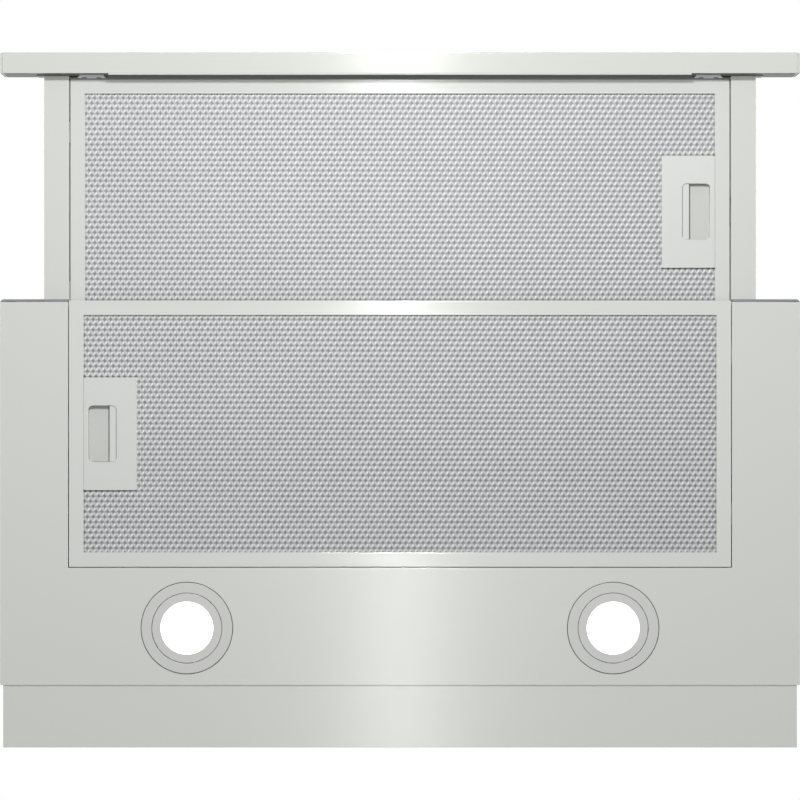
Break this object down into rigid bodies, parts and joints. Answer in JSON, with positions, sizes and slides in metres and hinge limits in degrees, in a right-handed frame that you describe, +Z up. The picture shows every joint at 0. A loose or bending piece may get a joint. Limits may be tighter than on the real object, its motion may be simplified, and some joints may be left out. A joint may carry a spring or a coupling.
{
  "type": "telescopic range hood",
  "caption": "Flat built-in range hood with a filter drawer that slides out on ball rails, a swing-down grease filter, two lamps, a blower and a duct collar with non-return flaps.",
  "frame": {"origin": "in the plane of the cabinet floor's underside, midway between the four cabinet fixing holes", "axes": "+Z up into the cabinet, +X along the hood's width, +Y towards the wall, so the drawer slides out towards -Y"},
  "size_m": [0.598, 0.5197, 0.2418],
  "materials": {
    "silver_paint": "satin",
    "filter_paint": "satin",
    "handle_paint": "satin",
    "mesh_metal": "satin",
    "zinc_sheet": "satin",
    "zinc_rail": "satin",
    "screw_steel": "satin",
    "lamp_opal": "satin",
    "motor_zinc": "satin",
    "cap_plastic": "satin",
    "blower_plastic": "matte",
    "dark_plastic": "matte",
    "key_plastic": "satin"
  },
  "bodies": {
    "hood_body": {"case_top": "zinc_sheet", "bottom_plate": "silver_paint", "front_cap_left": "cap_plastic", "front_cap_right": "cap_plastic", "upper_housing": "zinc_sheet", "top_cover": "zinc_sheet", "rear_strip": "silver_paint", "case_screws": "screw_steel", "slide_bracket_left": "zinc_sheet", "slide_bracket_right": "zinc_sheet", "outer_rail_left": "zinc_rail", "outer_rail_right": "zinc_rail", "lamp_trim_left": "silver_paint", "lamp_trim_right": "silver_paint", "lamp_ring_left": "silver_paint", "lamp_ring_right": "silver_paint", "lamp_lens_left": "lamp_opal", "lamp_lens_right": "lamp_opal", "lamp_can_left": "motor_zinc", "lamp_can_right": "motor_zinc", "lamp_driver": "dark_plastic", "blower_case_left": "blower_plastic", "blower_case_right": "blower_plastic", "motor": "motor_zinc", "motor_bracket": "zinc_sheet", "control_box": "dark_plastic", "cable_gland": "dark_plastic", "duct_collar": "blower_plastic", "flap_pins": "screw_steel"},
    "drawer": {"front_panel": "silver_paint", "panel_caps": "silver_paint", "panel_bracket_left": "zinc_rail", "panel_bracket_right": "zinc_rail", "drawer_screws": "screw_steel", "drawer_side_left": "silver_paint", "drawer_side_right": "silver_paint", "drawer_front_bar": "silver_paint", "drawer_rear_bar": "silver_paint", "drawer_cover": "silver_paint", "inner_rail_left": "zinc_rail", "inner_rail_right": "zinc_rail", "front_filter_frame": "filter_paint", "front_filter_mesh": "mesh_metal", "front_filter_handle": "handle_paint", "key_module": "dark_plastic"},
    "ball_cage_left": {"ball_cage_left": "zinc_rail"},
    "ball_cage_right": {"ball_cage_right": "zinc_rail"},
    "rear_filter": {"rear_filter_frame": "filter_paint", "rear_filter_mesh": "mesh_metal", "rear_filter_handle": "handle_paint"},
    "front_latch": {"front_latch": "handle_paint", "front_latch_spring": "screw_steel"},
    "rear_latch": {"rear_latch": "handle_paint", "rear_latch_spring": "screw_steel"},
    "impeller": {"impeller": "blower_plastic"},
    "flap_left": {"flap_left": "blower_plastic"},
    "flap_right": {"flap_right": "blower_plastic"},
    "key_light": {"key_light": "key_plastic"},
    "key_slower": {"key_slower": "key_plastic"},
    "key_faster": {"key_faster": "key_plastic"}
  },
  "joints": [
    {"name": "drawer_slide", "type": "slide", "parent": "hood_body", "child": "drawer", "axis": [0, -1, 0], "range_m": [-0.1686, 0]},
    {"name": "ball_cage_left_slide", "type": "slide", "parent": "hood_body", "child": "ball_cage_left", "axis": [0, -1, 0], "range_m": [-0.0843, 0]},
    {"name": "ball_cage_right_slide", "type": "slide", "parent": "hood_body", "child": "ball_cage_right", "axis": [0, -1, 0], "range_m": [-0.0843, 0]},
    {"name": "rear_filter_swing", "type": "hinge", "parent": "hood_body", "child": "rear_filter", "pos_m": [0.25, -0.0446, -0.04], "axis": [0, -1, 0], "range_deg": [0, 75]},
    {"name": "rear_latch_slide", "type": "slide", "parent": "rear_filter", "child": "rear_latch", "axis": [1, 0, 0], "range_m": [0, 0.0035], "stiffness_N_per_m": 300, "springref_m": -0.003, "deforming": ["rear_latch_spring"]},
    {"name": "front_latch_slide", "type": "slide", "parent": "drawer", "child": "front_latch", "axis": [-1, 0, 0], "range_m": [0, 0.0035], "stiffness_N_per_m": 300, "springref_m": -0.003, "deforming": ["front_latch_spring"]},
    {"name": "impeller_spin", "type": "hinge", "parent": "hood_body", "child": "impeller", "pos_m": [0, -0.02068, 0.084], "axis": [1, 0, 0], "continuous": true},
    {"name": "flap_left_swing", "type": "hinge", "parent": "hood_body", "child": "flap_left", "pos_m": [-0.003, 0.01, 0.176], "axis": [0, 1, 0], "range_deg": [0, 80]},
    {"name": "flap_right_swing", "type": "hinge", "parent": "hood_body", "child": "flap_right", "pos_m": [0.003, 0.01, 0.176], "axis": [0, -1, 0], "range_deg": [0, 80]},
    {"name": "key_light_press", "type": "slide", "parent": "drawer", "child": "key_light", "axis": [0, 1, 0], "range_m": [0, 0.0012], "stiffness_N_per_m": 500, "springref_m": -0.001},
    {"name": "key_slower_press", "type": "slide", "parent": "drawer", "child": "key_slower", "axis": [0, 1, 0], "range_m": [0, 0.0012], "stiffness_N_per_m": 500, "springref_m": -0.001},
    {"name": "key_faster_press", "type": "slide", "parent": "drawer", "child": "key_faster", "axis": [0, 1, 0], "range_m": [0, 0.0012], "stiffness_N_per_m": 500, "springref_m": -0.001}
  ],
  "couplings": [
    {"joint": "ball_cage_left_slide", "follows": "drawer_slide", "ratio": 0.5},
    {"joint": "ball_cage_right_slide", "follows": "drawer_slide", "ratio": 0.5}
  ]
}
